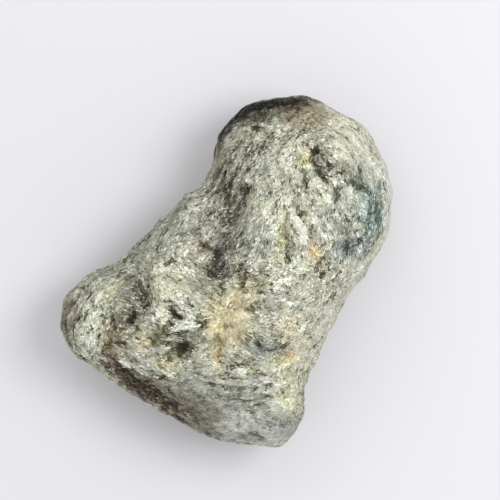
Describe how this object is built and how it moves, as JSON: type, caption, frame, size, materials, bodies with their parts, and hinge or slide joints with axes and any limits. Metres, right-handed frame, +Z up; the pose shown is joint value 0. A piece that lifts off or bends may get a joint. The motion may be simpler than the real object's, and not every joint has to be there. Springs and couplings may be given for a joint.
{
  "type": "raw fuchsite stone",
  "caption": "Raw fuchsite: a hand-held stone of green-grey chrome mica with a broad crown, a side knob and a sloping lower face, lying on a flat cleavage face.",
  "frame": {"origin": "under the middle of the stone's box, on the surface that it lies on", "axes": "+Z up out of the stone's best side; +Y towards its broad crown; +X towards the crown's side of its outline, away from the knob"},
  "size_m": [0.0302, 0.032, 0.0155],
  "materials": {
    "fuchsite": "rough broken mica, glittering on its flakes, stained ochre in places"
  },
  "bodies": {
    "root": {"fuchsite_stone": "fuchsite"}
  },
  "joints": []
}
